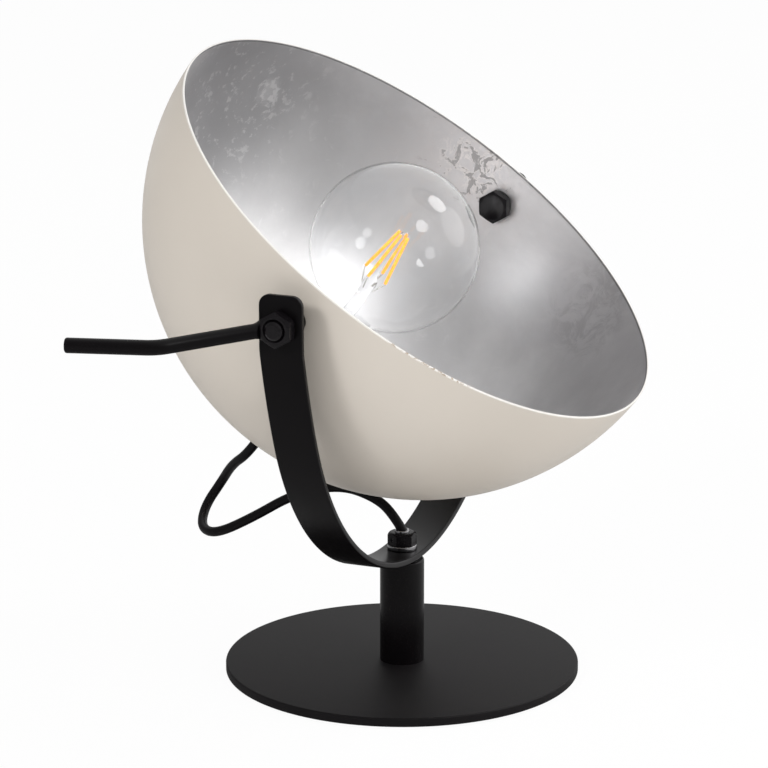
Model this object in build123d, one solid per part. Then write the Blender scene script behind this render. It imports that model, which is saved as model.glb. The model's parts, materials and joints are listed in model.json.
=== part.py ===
from build123d import *
import math
import os

# Tabletop searchlight lamp: a round base and short stem carry a swivelling U-shaped yoke,
# and a dome shade tilts in the yoke between two pivot bolts, one of them with a clamp lever.
# Millimetres, +Z up. The origin is the centre of the underside, on the stem's axis.
# The dome opens towards -Y and upwards, and its pivots lie along X.

# ---- base and stem ----
base_radius = 100.0
plate_thickness = 5.0
plate_edge = 0.8
pad_thickness = 1.0
pad_inset = 6.0
stem_radius = 12.5
stem_wall = 2.0
stem_height = 60.0
stem_edge = 1.0
foot_plug_height = 12.0
top_bush_height = 14.0
stem_screw_radius = 4.0
stem_screw_head_radius = 8.0
stem_screw_grip = 9.0
stem_screw_socket = 5.0
stem_screw_socket_depth = 2.8
lead_hole_above_plug = 6.0
lead_hole_radius = 4.5
lead_bush_bore = 3.0
lead_bush_flange = 6.0
lead_bush_flange_thickness = 1.6

# ---- swivel ----
pipe_radius = 5.0
pipe_bore = 3.3
running_clearance = 0.05
thread_clearance = 0.05
fit_clearance = 0.02
thrust_gap = 0.1
thrust_washer_radius = 10.5
thrust_washer_thickness = 1.5
glide_washer_clearance = 1.5
glide_washer_thickness = 1.0
spring_washer_inset = 1.0
spring_washer_thickness = 1.2
small_nut_flats = 14.0
swivel_nut_height = 5.0
pipe_tail = 2.0

# ---- yoke ----
strip_width = 24.2
strip_thickness = 3.5
yoke_bottom_angle = 68.2
yoke_side_angle = 8.0
yoke_tab_radius = 30.0
yoke_straight_below_pivot = 9.8
yoke_tab_above_pivot = 16.8
tab_corner = 5.2
gland_washer_radius = 8.4
seat_clearance = 0.8
gland_washer_thickness = 3.0
gland_flats = 14.6
gland_height = 7.2
gland_shoulder = 2.6
gland_thread = 1.9
collar_radius = 4.2
collar_stands_out = 1.25
collar_depth = 1.4
clamp_screw_radius = 1.2
clamp_screw_length = 4.1
clamp_screw_below_top = 4.05
clamp_screw_turn = 150.0

# ---- cord ----
cord_radius = 2.75
cord_bore_clearance = 0.1
cord_below_pipe = 8.0
cord_start_depth = 1.4
cord_last_run = 12.7
corner_share = 0.45

# ---- shade ----
dome_above_yoke = 36.6
shade_radius = 153.6
shade_wall = 1.2
rim_below_centre = 1.3
opening_elevation = 53.5
pivot_below_centre = 24.8
pivot_off_axis = 4.0
holder_lean = 1.4

# ---- pivots ----
bolt_radius = 5.0
bolt_flats = 17.0
bolt_head_height = 6.4
bolt_end_chamfer = 1.3
inner_seat_radius = 8.6
outer_seat_radius = 7.0
seat_least = 0.4
lock_nut_height = 8.0
bush_radius = 6.5
bush_flange_radius = 9.5
bush_flange_thickness = 1.5
friction_washer_thickness = 3.0
far_nut_height = 8.0
far_bolt_stands_out = 2.0
shell_hole_clearance = 0.3

# ---- lever ----
lever_nut_height = 8.0
lever_bolt_stands_out = 2.2
rod_radius = 4.0
rod_end_edge = 0.8
rod_below_pivot = 1.15
rod_first_length = 57.0
rod_second_length = 47.4
rod_bend_radius = 22.0
rod_first_outward = 45.0
rod_first_drop = 3.8
rod_second_outward = 15.0

# ---- lampholder ----
pole_inner_seat_radius = 12.0
pole_outer_seat_radius = 10.0
pole_inner_seat_least = 1.5
pole_outer_seat_least = 0.8
pole_nut_height = 4.0
pipe_into_holder = 8.0
holder_radius = 20.5
holder_wall = 1.8
holder_cap_height = 20.0
holder_cap_floor = 3.0
holder_cap_neck = 9.0
holder_height = 60.0
holder_ring_radius = 26.0
holder_ring_height = 8.0
holder_ring_below_mouth = 16.0
core_height = 14.0
core_above_floor = 9.0
centre_contact_height = 10.9
contact_shell_wall = 0.4
contact_shell_clearance = 0.15
contact_shell_below_mouth = 2.0
terminal_screw_radius = 1.6
terminal_screw_head = 2.8
terminal_screw_offset = 10.0
terminal_screw_length = 8.0
terminal_head_height = 2.0

# ---- bulb ----
globe_radius = 47.5
glass_wall = 1.0
bulb_length = 138.0
bulb_cap_radius = 13.2
bulb_cap_height = 22.0
bulb_cap_wall = 0.4
bulb_neck_radius = 12.4
bulb_contact_radius = 4.5
bulb_contact_height = 1.4
insulator_height = 3.0
neck_above_cap = 0.9
mount_radius = 4.0
mount_flare_height = 12.0
filament_radius = 0.9
filament_low = -20.6
filament_high = 10.6
filament_low_ring = 8.0
filament_high_ring = 3.0
filament_turn = -10.0
filament_count = 4
wire_radius = 0.35

# ---- hexagons ----
hex_face_share = 0.86
hex_chamfer_angle = 30.0

# ---- worked out from the sizes above ----
plate_top = pad_thickness + plate_thickness
stem_top = plate_top + stem_height
stem_bore = stem_radius - stem_wall
lead_height = plate_top + foot_plug_height + lead_hole_above_plug
bush_bottom = stem_top - top_bush_height
strip_bottom = stem_top + thrust_gap + thrust_washer_thickness
strip_top = strip_bottom + strip_thickness
gland_bottom = strip_top + gland_washer_thickness
gland_top = gland_bottom + gland_height
collar_top = gland_top + collar_stands_out
pipe_top = gland_bottom + gland_thread
glide_bottom = bush_bottom - thrust_gap - glide_washer_thickness
glide_washer_radius = stem_bore - glide_washer_clearance
spring_washer_radius = glide_washer_radius - spring_washer_inset
spring_bottom = glide_bottom - spring_washer_thickness
swivel_nut_bottom = spring_bottom - swivel_nut_height
pipe_bottom = swivel_nut_bottom - pipe_tail
shade_inner = shade_radius - shade_wall
shade_turn = 90.0 - opening_elevation
cord_bore = cord_radius + cord_bore_clearance


# ---- helpers ----
def rod(radius, low, high):
    return Pos(0, 0, low) * Cylinder(radius, high - low, align=(Align.CENTER, Align.CENTER, Align.MIN))


def ring(outer, inner, low, high):
    return rod(outer, low, high) - rod(inner, low - 1, high + 1)


def turned(points):
    """Solid of revolution about Z from a closed outline of (radius, height) points."""
    return revolve(make_face(Plane.XZ * Polyline(points, close=True)), Axis.Z)


def hexagon(flats, low, high):
    """Hexagonal prism along Z with corners on the X axis."""
    outline = RegularPolygon(flats / 2, 6, major_radius=False)
    return Pos(0, 0, low) * extrude(outline, high - low)


def chamfered_hex(flats, low, high, chamfer_low=True, chamfer_high=True):
    """Hexagonal head or nut with its corners turned down."""
    corner = flats / math.sqrt(3)
    face = flats / 2 * hex_face_share
    drop = (corner - face) * math.tan(math.radians(hex_chamfer_angle))
    points = [(0, low)]
    points += [(face, low), (corner, low + drop)] if chamfer_low else [(corner, low)]
    points += [(corner, high - drop), (face, high)] if chamfer_high else [(corner, high)]
    points += [(0, high)]
    return hexagon(flats, low, high) & turned(points)


def nut(flats, bore, low, high):
    return chamfered_hex(flats, low, high) - rod(bore, low - 1, high + 1)


# ---- frames ----
tilt = math.radians(opening_elevation)
opening_way = Vector(0, -math.cos(tilt), math.sin(tilt))
across_way = Vector(0, math.sin(tilt), math.cos(tilt))
from_pivot = opening_way * pivot_below_centre + across_way * pivot_off_axis
pivot_height = strip_top + dome_above_yoke + shade_radius - from_pivot.Z
shade_centre = Vector(0, 0, pivot_height) + from_pivot
dome_frame = Location(tuple(shade_centre), (shade_turn, 0, 0))
lamp_frame = dome_frame * Pos(0, 0, -shade_radius) * Rot(-holder_lean, 0, 0) * Pos(0, 0, shade_radius)
near_side = Location((0, 0, pivot_height), (0, -90, 0))
far_side = Location((0, 0, pivot_height), (0, 90, 0))
lead_side = Location((0, 0, lead_height), (0, 90, 0))
outer_ball = Pos(*shade_centre) * Sphere(shade_radius + fit_clearance)
inner_ball = Pos(*shade_centre) * Sphere(shade_inner - fit_clearance)


def ball_depth(radius, offset):
    """Height of a ball of this radius above its centre plane, at this offset from its axis."""
    return math.sqrt(radius ** 2 - offset ** 2)


# Distances from the middle plane to each face of a pivot's stack, going outwards.
pivot_offset = math.hypot(pivot_below_centre, pivot_off_axis)
inner_flat = ball_depth(shade_inner, pivot_offset + inner_seat_radius) - seat_least
head_face = inner_flat - bolt_head_height
outer_flat = ball_depth(shade_radius, pivot_offset - outer_seat_radius) + seat_least
lock_nut_face = outer_flat + lock_nut_height
flange_face = lock_nut_face + friction_washer_thickness + thrust_gap
tab_inner = flange_face + bush_flange_thickness
yoke_half_width = tab_inner + strip_thickness
nut_seat = yoke_half_width + thrust_gap
lever_nut_face = nut_seat + lever_nut_height
far_nut_face = nut_seat + far_nut_height
yoke_top = pivot_height + yoke_tab_above_pivot

# The yoke's two long bends take the radii that carry the strip out to its half width
# and up to the straight tab. lean_end is what still leans outwards where the tab's bend starts.
lean_end = math.radians(90.0 - yoke_bottom_angle - yoke_side_angle)
lean_middle = math.radians(90.0 - yoke_bottom_angle)
bend_width = yoke_half_width - yoke_tab_radius * (1 - math.cos(lean_end))
bend_height = (
    pivot_height - yoke_straight_below_pivot - strip_bottom - yoke_tab_radius * math.sin(lean_end)
)
bottom_width, bottom_height = math.cos(lean_middle), 1 - math.sin(lean_middle)
side_width = math.cos(lean_end) - math.cos(lean_middle)
side_height = math.sin(lean_middle) - math.sin(lean_end)
bend_share = bottom_width * side_height - side_width * bottom_height
yoke_bottom_radius = (bend_width * side_height - side_width * bend_height) / bend_share
yoke_side_radius = (bottom_width * bend_height - bottom_height * bend_width) / bend_share


# ---- base ----
def base_plate():
    plate = rod(base_radius, pad_thickness, plate_top)
    top_rim = plate.edges().filter_by(GeomType.CIRCLE).group_by(Axis.Z)[-1]
    plate = chamfer(top_rim, plate_edge)
    sink = stem_screw_head_radius - stem_screw_radius
    hole = rod(stem_screw_radius + shell_hole_clearance, 0, plate_top + 1)
    countersink = turned([
        (0, pad_thickness - 1),
        (stem_screw_head_radius + fit_clearance + 1, pad_thickness - 1),
        (stem_screw_radius + fit_clearance, pad_thickness + sink),
        (0, pad_thickness + sink),
    ])
    return plate - hole - countersink


def base_pad():
    return rod(base_radius - pad_inset, 0, pad_thickness)


def stem_screw():
    head_height = stem_screw_head_radius - stem_screw_radius
    screw_top = plate_top + stem_screw_grip
    screw = turned([
        (0, pad_thickness),
        (stem_screw_head_radius, pad_thickness),
        (stem_screw_radius, pad_thickness + head_height),
        (stem_screw_radius, screw_top),
        (0, screw_top),
    ])
    return screw - hexagon(stem_screw_socket, pad_thickness - 1, pad_thickness + stem_screw_socket_depth)


def stem_tube():
    tube = ring(stem_radius, stem_bore, plate_top, stem_top)
    outer_rim = tube.edges().filter_by(GeomType.CIRCLE).group_by(Axis.Z)[-1].sort_by(SortBy.RADIUS)[-1]
    tube = fillet(outer_rim, stem_edge)
    return tube - lead_side * rod(lead_hole_radius, 0, stem_radius + 1)


def stem_foot_plug():
    plug = rod(stem_bore - fit_clearance, plate_top, plate_top + foot_plug_height)
    thread = rod(stem_screw_radius + thread_clearance, plate_top - 1, plate_top + foot_plug_height + 1)
    return plug - thread


def stem_top_bush():
    return ring(stem_bore - fit_clearance, pipe_radius + running_clearance, bush_bottom, stem_top)


def lead_bush():
    inside = stem_bore - lead_bush_flange_thickness
    outside = stem_radius + lead_bush_flange_thickness
    flange = lead_side * rod(lead_bush_flange, 0, outside) - rod(stem_radius + fit_clearance, 0, stem_top)
    body = lead_side * rod(lead_hole_radius - fit_clearance, inside, outside)
    return flange + body - lead_side * rod(lead_bush_bore, 0, outside + 1)


# ---- swivel ----
def swivel_pipe():
    return ring(pipe_radius, pipe_bore, pipe_bottom, pipe_top)


def thrust_washer():
    return ring(thrust_washer_radius, pipe_radius + fit_clearance, stem_top + thrust_gap, strip_bottom)


def glide_washer():
    return ring(glide_washer_radius, pipe_radius + fit_clearance, glide_bottom, glide_bottom + glide_washer_thickness)


def spring_washer():
    return ring(spring_washer_radius, pipe_radius + fit_clearance, spring_bottom, glide_bottom)


def swivel_nut():
    return nut(small_nut_flats, pipe_radius + thread_clearance, swivel_nut_bottom, spring_bottom)


# ---- yoke ----
def strip_edge(offset, low):
    """Right half of the yoke's outline, inwards by this offset, from its lowest point up."""
    bottom = JernArc((0, low), (1, 0), yoke_bottom_radius - offset, yoke_bottom_angle)
    side = JernArc(bottom @ 1, bottom % 1, yoke_side_radius - offset, yoke_side_angle)
    tab = JernArc(side @ 1, side % 1, yoke_tab_radius - offset, math.degrees(lean_end))
    leg = Line(tab @ 1, ((tab @ 1).X, yoke_top))
    return [bottom, side, tab, leg]


def yoke_strip():
    outer = strip_edge(0, strip_bottom)
    inner = strip_edge(strip_thickness, strip_top)
    lower_end = Line((0, strip_bottom), (0, strip_top))
    upper_end = Line(outer[-1] @ 1, inner[-1] @ 1)
    half = make_face(Plane.XZ * (Curve() + outer + inner + [lower_end, upper_end]))
    right = extrude(half, strip_width / 2, both=True)
    strip = right + mirror(right, Plane.YZ)
    corners = strip.edges().filter_by(Axis.X).group_by(Axis.Z)[-1]
    strip = fillet(corners, tab_corner)
    strip = strip - rod(gland_washer_radius + seat_clearance, strip_top, strip_top + strip_thickness)
    strip = strip - rod(pipe_radius + fit_clearance, strip_bottom - 1, strip_top + 1)
    for side in (near_side, far_side):
        strip = strip - side * rod(bush_radius + fit_clearance, tab_inner - 2, yoke_half_width + 2)
    return strip


def pivot_bush():
    """Flanged bush in the yoke's tab, with the flange on the inner side."""
    body = rod(bush_radius, flange_face, yoke_half_width)
    flange = rod(bush_flange_radius, flange_face, tab_inner)
    return body + flange - rod(bolt_radius + running_clearance, flange_face - 1, yoke_half_width + 1)


def gland_washer():
    return ring(gland_washer_radius, pipe_radius + fit_clearance, strip_top, gland_bottom)


def gland_body():
    """Cord grip: a hexagon with a round shoulder, bored for the pipe, the collar and a clamp screw."""
    corner = gland_flats / math.sqrt(3)
    blank = rod(corner, gland_bottom, gland_top)
    top_rim = blank.edges().filter_by(GeomType.CIRCLE).group_by(Axis.Z)[-1]
    body = hexagon(gland_flats, gland_bottom, gland_top) & fillet(top_rim, gland_shoulder)
    body = body - rod(pipe_radius + thread_clearance, gland_bottom - 1, pipe_top)
    body = body - rod(collar_radius + fit_clearance, gland_top - collar_depth, gland_top + 1)
    body = body - rod(cord_bore, gland_bottom, gland_top)
    return body - clamp_screw_place() * rod(clamp_screw_radius + fit_clearance, 0, gland_flats)


def clamp_screw_place():
    """The clamp screw lies square to one flat, across the cord's axis."""
    return Rot(0, 0, clamp_screw_turn) * Location((0, 0, gland_top - clamp_screw_below_top), (0, 90, 0))


def gland_collar():
    return ring(collar_radius, cord_bore, gland_top - collar_depth, collar_top)


def gland_clamp_screw():
    start = cord_bore + fit_clearance
    return clamp_screw_place() * rod(clamp_screw_radius, start, start + clamp_screw_length)


# ---- shade ----
def shade_shell():
    above_rim = Pos(0, 0, -rim_below_centre) * Cylinder(
        shade_radius * 1.1, shade_radius * 1.2, align=(Align.CENTER, Align.CENTER, Align.MIN))
    bowl = dome_frame * (Sphere(shade_radius) - Sphere(shade_inner) - above_rim)
    for side in (near_side, far_side):
        bowl = bowl - side * rod(bolt_radius + shell_hole_clearance, shade_radius * 0.8, shade_radius * 1.1)
    pipe_hole = rod(pipe_radius + shell_hole_clearance, -shade_radius * 1.1, -shade_radius * 0.9)
    return bowl - lamp_frame * pipe_hole


def pivot_bolt(end):
    """Hex head inside the dome, plain shank through the shell and the yoke."""
    head = chamfered_hex(bolt_flats, head_face, inner_flat, chamfer_high=False)
    shank = turned([
        (0, inner_flat - 1),
        (bolt_radius, inner_flat - 1),
        (bolt_radius, end - bolt_end_chamfer),
        (bolt_radius - bolt_end_chamfer, end),
        (0, end),
    ])
    return head + shank


def inner_seat(side):
    blank = ring(inner_seat_radius, bolt_radius + fit_clearance, inner_flat, shade_radius)
    return (side * blank) & inner_ball


def outer_seat(side):
    blank = ring(outer_seat_radius, bolt_radius + fit_clearance, inner_flat, outer_flat)
    return (side * blank) - outer_ball


def lock_nut():
    return nut(small_nut_flats, bolt_radius + thread_clearance, outer_flat, lock_nut_face)


def friction_washer():
    return ring(bush_flange_radius, bolt_radius + fit_clearance, lock_nut_face, flange_face - thrust_gap)


def far_nut():
    return nut(bolt_flats, bolt_radius + thread_clearance, nut_seat, far_nut_face)


# ---- lever ----
def lever_nut():
    return nut(bolt_flats, bolt_radius + running_clearance, nut_seat, lever_nut_face)


def lever_way(outward, drop):
    """Unit direction to the rear, turned outwards from the yoke and downwards by these angles."""
    out, down = math.radians(outward), math.radians(drop)
    return Vector(-math.sin(out) * math.cos(down), math.cos(out) * math.cos(down), -math.sin(down))


def lever_rod():
    root = Vector(-(nut_seat + lever_nut_face) / 2, bolt_flats / 2, pivot_height - rod_below_pivot)
    first = lever_way(rod_first_outward, rod_first_drop)
    second = lever_way(rod_second_outward, 0)
    bend = root + first * rod_first_length
    tip = bend + second * rod_second_length
    path = FilletPolyline([root - first * rod_radius, bend, tip], radius=rod_bend_radius)
    bar = sweep(Plane(path @ 0, z_dir=path % 0) * Circle(rod_radius), path)
    end_rim = bar.edges().filter_by(GeomType.CIRCLE).sort_by(Axis.Y)[-1]
    bar = chamfer(end_rim, rod_end_edge)
    return bar - near_side * rod(bolt_flats, 0, nut_seat) - near_side * hexagon(bolt_flats, 0, nut_seat * 2)


# ---- lampholder, in the frame of the dome's centre with the pole at -Z ----
pole_inner_flat = -ball_depth(shade_inner, pole_inner_seat_radius) + pole_inner_seat_least
pole_outer_flat = -shade_radius - pole_outer_seat_least
pole_nut_low = pole_outer_flat - pole_nut_height
pole_gland_low = pole_nut_low - gland_height
pole_collar_low = pole_gland_low - collar_stands_out
pole_pipe_low = pole_nut_low - gland_thread
cap_floor = pole_inner_flat + holder_cap_floor
holder_mouth = pole_inner_flat + holder_height
cap_top = pole_inner_flat + holder_cap_height
core_low = cap_floor + core_above_floor
core_high = core_low + core_height
pole_pipe_high = cap_floor + pipe_into_holder
bulb_contact_low = core_high + centre_contact_height
bulb_tip = bulb_contact_low + bulb_length
globe_middle = bulb_tip - globe_radius
insulator_low = bulb_contact_low + bulb_contact_height
bulb_cap_low = insulator_low + insulator_height
bulb_cap_top = bulb_cap_low + bulb_cap_height
contact_shell_inner = bulb_cap_radius + contact_shell_clearance

# The glass narrows in one arc that touches the globe and the top of the straight neck.
neck_drop = globe_middle - bulb_cap_top - neck_above_cap
neck_blend_radius = (
    (neck_drop ** 2 - globe_radius ** 2 + bulb_neck_radius ** 2) / (2 * (globe_radius - bulb_neck_radius))
)


def pole_inner_seat():
    blank = ring(pole_inner_seat_radius, pipe_radius + fit_clearance, -shade_radius, pole_inner_flat)
    return (lamp_frame * blank) & inner_ball


def pole_outer_seat():
    blank = ring(pole_outer_seat_radius, pipe_radius + fit_clearance, pole_outer_flat, pole_inner_flat)
    return (lamp_frame * blank) - outer_ball


def pole_pipe():
    return lamp_frame * ring(pipe_radius, pipe_bore, pole_pipe_low, pole_pipe_high)


def pole_nut():
    return lamp_frame * nut(small_nut_flats, pipe_radius + thread_clearance, pole_nut_low, pole_outer_flat)


gland_flip = Location((0, 0, pole_nut_low + gland_bottom), (180, 0, 0))


def at_pole(piece):
    """A piece of the yoke's cord grip, turned over and moved onto the dome's pole."""
    return lamp_frame * gland_flip * piece


def holder_cap():
    outline = [
        (0, pole_inner_flat),
        (holder_cap_neck, pole_inner_flat),
        (holder_radius, pole_inner_flat + holder_cap_neck),
        (holder_radius, cap_top),
        (0, cap_top),
    ]
    hollow = [
        (0, cap_floor),
        (holder_cap_neck, cap_floor),
        (holder_radius - holder_wall, cap_floor + holder_cap_neck - 1),
        (holder_radius - holder_wall, cap_top + 1),
        (0, cap_top + 1),
    ]
    cap = turned(outline) - turned(hollow)
    return lamp_frame * (cap - rod(pipe_radius + thread_clearance, pole_inner_flat - 1, cap_floor + 1))


def holder_barrel():
    return lamp_frame * ring(holder_radius, holder_radius - holder_wall, cap_top, holder_mouth)


def holder_ring():
    high = holder_mouth - holder_ring_below_mouth
    return lamp_frame * ring(holder_ring_radius, holder_radius + fit_clearance, high - holder_ring_height, high)


def terminal_screw_spots():
    return [Pos(terminal_screw_offset * side, 0, core_low) for side in (-1, 1)]


def holder_core():
    core = rod(holder_radius - holder_wall - fit_clearance, core_low, core_high)
    for spot in terminal_screw_spots():
        core = core - spot * rod(terminal_screw_radius + thread_clearance, -1, terminal_screw_length)
    return lamp_frame * core


def terminal_screws():
    screw = rod(terminal_screw_head, -terminal_head_height, 0)
    screw = screw + rod(terminal_screw_radius, 0, terminal_screw_length - thread_clearance)
    return lamp_frame * Compound(children=[spot * screw for spot in terminal_screw_spots()])


def contact_shell():
    outer = contact_shell_inner + contact_shell_wall
    return lamp_frame * ring(outer, contact_shell_inner, core_high, holder_mouth - contact_shell_below_mouth)


def centre_contact():
    return lamp_frame * rod(bulb_contact_radius, core_high, bulb_contact_low)


# ---- bulb, in the same frame ----
def glass_outline(wall):
    """Half outline of the glass: globe, neck blend and neck, moved inwards by the wall."""
    globe = globe_radius - wall
    neck = bulb_neck_radius - wall
    blend = neck_blend_radius + wall
    reach = globe + blend
    blend_drop = neck_drop
    middle = globe_middle
    meet = globe / reach
    join = ((neck + blend) * meet, middle - blend_drop * meet)
    foot = bulb_cap_low + bulb_cap_wall
    bulge = math.atan2(join[1] - middle, join[0]) / 2 + math.pi / 4
    half_way = (globe * math.cos(bulge), middle + globe * math.sin(bulge))
    dip = (math.atan2(blend_drop, -(neck + blend)) + math.pi) / 2
    blend_way = (neck + blend + blend * math.cos(dip), middle - blend_drop + blend * math.sin(dip))
    return [
        ThreePointArc((0, middle + globe), half_way, join),
        ThreePointArc(join, blend_way, (neck, middle - blend_drop)),
        Line((neck, middle - blend_drop), (neck, foot)),
    ]


def bulb_glass():
    outer = glass_outline(0)
    inner = glass_outline(glass_wall)
    closing = [Line(outer[0] @ 0, inner[0] @ 0), Line(outer[-1] @ 1, inner[-1] @ 1)]
    return lamp_frame * revolve(make_face(Plane.XZ * (Curve() + outer + inner + closing)), Axis.Z)


def bulb_cap():
    cup = ring(bulb_cap_radius, bulb_cap_radius - bulb_cap_wall, bulb_cap_low, bulb_cap_top)
    return lamp_frame * (cup + ring(bulb_cap_radius, bulb_contact_radius * 2, bulb_cap_low,
                                    bulb_cap_low + bulb_cap_wall))


def bulb_insulator():
    return lamp_frame * turned([
        (0, insulator_low),
        (bulb_contact_radius + 1, insulator_low),
        (bulb_contact_radius * 2, bulb_cap_low),
        (0, bulb_cap_low),
    ])


def bulb_contact():
    return lamp_frame * rod(bulb_contact_radius, bulb_contact_low, insulator_low)


def bulb_mount():
    """Glass mount inside the bulb: a flared foot in the neck and a stem up between the filaments."""
    foot = bulb_cap_low + bulb_cap_wall
    flare = bulb_neck_radius - glass_wall - fit_clearance
    top = globe_middle + filament_low
    return lamp_frame * turned([
        (0, foot),
        (flare, foot),
        (mount_radius, foot + mount_flare_height),
        (mount_radius, top - mount_radius),
        (mount_radius / 2, top),
        (mount_radius / 2, globe_middle + filament_high),
        (0, globe_middle + filament_high),
    ])


def filament_ends(index):
    turn = math.radians(filament_turn + index * 360 / filament_count)
    low = globe_middle + filament_low
    high = globe_middle + filament_high
    return (
        Vector(filament_low_ring * math.cos(turn), filament_low_ring * math.sin(turn), low),
        Vector(filament_high_ring * math.cos(turn), filament_high_ring * math.sin(turn), high),
    )


def bar_between(start, end, radius):
    way = end - start
    return extrude(Plane(start, z_dir=way) * Circle(radius), way.length)


def bulb_filaments():
    bars = []
    for index in range(filament_count):
        low, high = filament_ends(index)
        bars.append(bar_between(low, high, filament_radius))
    return lamp_frame * Compound(children=bars)


def bulb_wires():
    """Lead wires from the mount's shoulder out to the foot of each filament."""
    wires = []
    for index in range(filament_count):
        low, high = filament_ends(index)
        shoulder = Vector(low.X, low.Y, 0).normalized() * (mount_radius + wire_radius + fit_clearance)
        start = Vector(shoulder.X, shoulder.Y, low.Z - 2 * mount_radius)
        wires.append(bar_between(start, low - (high - low).normalized() * 2 * wire_radius, wire_radius))
    return lamp_frame * Compound(children=wires)


# ---- cord ----
pole_gland_face = lamp_frame * Pos(0, 0, pole_collar_low)
CORD_POINTS = [
    (0.0, -0.6, collar_top - cord_start_depth),
    (-0.4, 4.2, 89.4),
    (-0.3, 14.5, 99.0),
    (-1.2, 36.7, 105.1),
    (-6.9, 63.0, 98.3),
    (-12.8, 86.9, 82.9),
    (-16.6, 107.6, 72.0),
    (-6.6, 121.8, 71.1),
    (7.9, 125.9, 79.6),
    (15.3, 118.3, 93.5),
    (8.0, 108.3, 106.6),
    tuple((pole_gland_face * Pos(0, 0, -cord_last_run)).position),
    tuple(pole_gland_face.position),
]


def corner_radii(points):
    """Each corner's arc takes a fixed share of the shorter run beside it."""
    radii = []
    for before, corner, after in zip(points, points[1:], points[2:]):
        arriving = Vector(*corner) - Vector(*before)
        leaving = Vector(*after) - Vector(*corner)
        turn = math.radians(arriving.get_angle(leaving))
        shorter = min(arriving.length, leaving.length)
        radii.append(corner_share * shorter / math.tan(turn / 2))
    return radii


def lamp_cord():
    radii = corner_radii(CORD_POINTS)
    path = FilletPolyline(CORD_POINTS, radius=radii)
    cord = sweep(Plane(path @ 0, z_dir=path % 0) * Circle(cord_radius), path)
    section = math.pi * cord_radius ** 2
    print("cord radii", [round(radius, 1) for radius in radii])
    print("cord length", round(path.length, 1), "volume share", round(cord.volume / (section * path.length), 4))
    return cord - rod(collar_radius, gland_bottom, collar_top)


def pipe_cord():
    """The same cord's hidden stretch inside the swivel pipe."""
    return rod(cord_radius, pipe_bottom - cord_below_pipe, collar_top)


def holder_cord():
    """The same cord's hidden stretch inside the pole's pipe."""
    return lamp_frame * rod(cord_radius, pole_collar_low, core_low)


# ---- every piece, by node name ----
def pair(near, far):
    return Compound(children=[near, far])


near_bolt_end = lever_nut_face + lever_bolt_stands_out
far_bolt_end = far_nut_face + far_bolt_stands_out
PIECES = {
    "base_plate": base_plate(),
    "base_pad": base_pad(),
    "stem_screw": stem_screw(),
    "stem_tube": stem_tube(),
    "stem_foot_plug": stem_foot_plug(),
    "stem_top_bush": stem_top_bush(),
    "lead_bush": lead_bush(),
    "swivel_pipe": swivel_pipe(),
    "thrust_washer": thrust_washer(),
    "glide_washer": glide_washer(),
    "spring_washer": spring_washer(),
    "swivel_nut": swivel_nut(),
    "yoke_strip": yoke_strip(),
    "near_pivot_bush": near_side * pivot_bush(),
    "far_pivot_bush": far_side * pivot_bush(),
    "gland_washer": gland_washer(),
    "gland_body": gland_body(),
    "gland_collar": gland_collar(),
    "gland_clamp_screw": gland_clamp_screw(),
    "lamp_cord": lamp_cord(),
    "pipe_cord": pipe_cord(),
    "shade_shell": shade_shell(),
    "near_pivot_bolt": near_side * pivot_bolt(near_bolt_end),
    "far_pivot_bolt": far_side * pivot_bolt(far_bolt_end),
    "inner_seats": pair(inner_seat(near_side), inner_seat(far_side)),
    "outer_seats": pair(outer_seat(near_side), outer_seat(far_side)),
    "lock_nuts": pair(near_side * lock_nut(), far_side * lock_nut()),
    "friction_washers": pair(near_side * friction_washer(), far_side * friction_washer()),
    "far_nut": far_side * far_nut(),
    "lever_nut": near_side * lever_nut(),
    "lever_rod": lever_rod(),
    "pole_inner_seat": pole_inner_seat(),
    "pole_outer_seat": pole_outer_seat(),
    "pole_pipe": pole_pipe(),
    "pole_nut": pole_nut(),
    "pole_gland_body": at_pole(gland_body()),
    "pole_gland_collar": at_pole(gland_collar()),
    "pole_clamp_screw": at_pole(gland_clamp_screw()),
    "holder_cord": holder_cord(),
    "holder_cap": holder_cap(),
    "holder_barrel": holder_barrel(),
    "holder_ring": holder_ring(),
    "holder_core": holder_core(),
    "terminal_screws": terminal_screws(),
    "contact_shell": contact_shell(),
    "centre_contact": centre_contact(),
    "bulb_glass": bulb_glass(),
    "bulb_cap": bulb_cap(),
    "bulb_insulator": bulb_insulator(),
    "bulb_contact": bulb_contact(),
    "bulb_mount": bulb_mount(),
    "bulb_filaments": bulb_filaments(),
    "bulb_wires": bulb_wires(),
}

os.makedirs("parts", exist_ok=True)
for name, shape in PIECES.items():
    export_step(shape, f"parts/{name}.step")
print(len(PIECES), "nodes written")
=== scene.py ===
import json
import math

import bmesh
import bpy
from mathutils import Matrix, Vector


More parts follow.
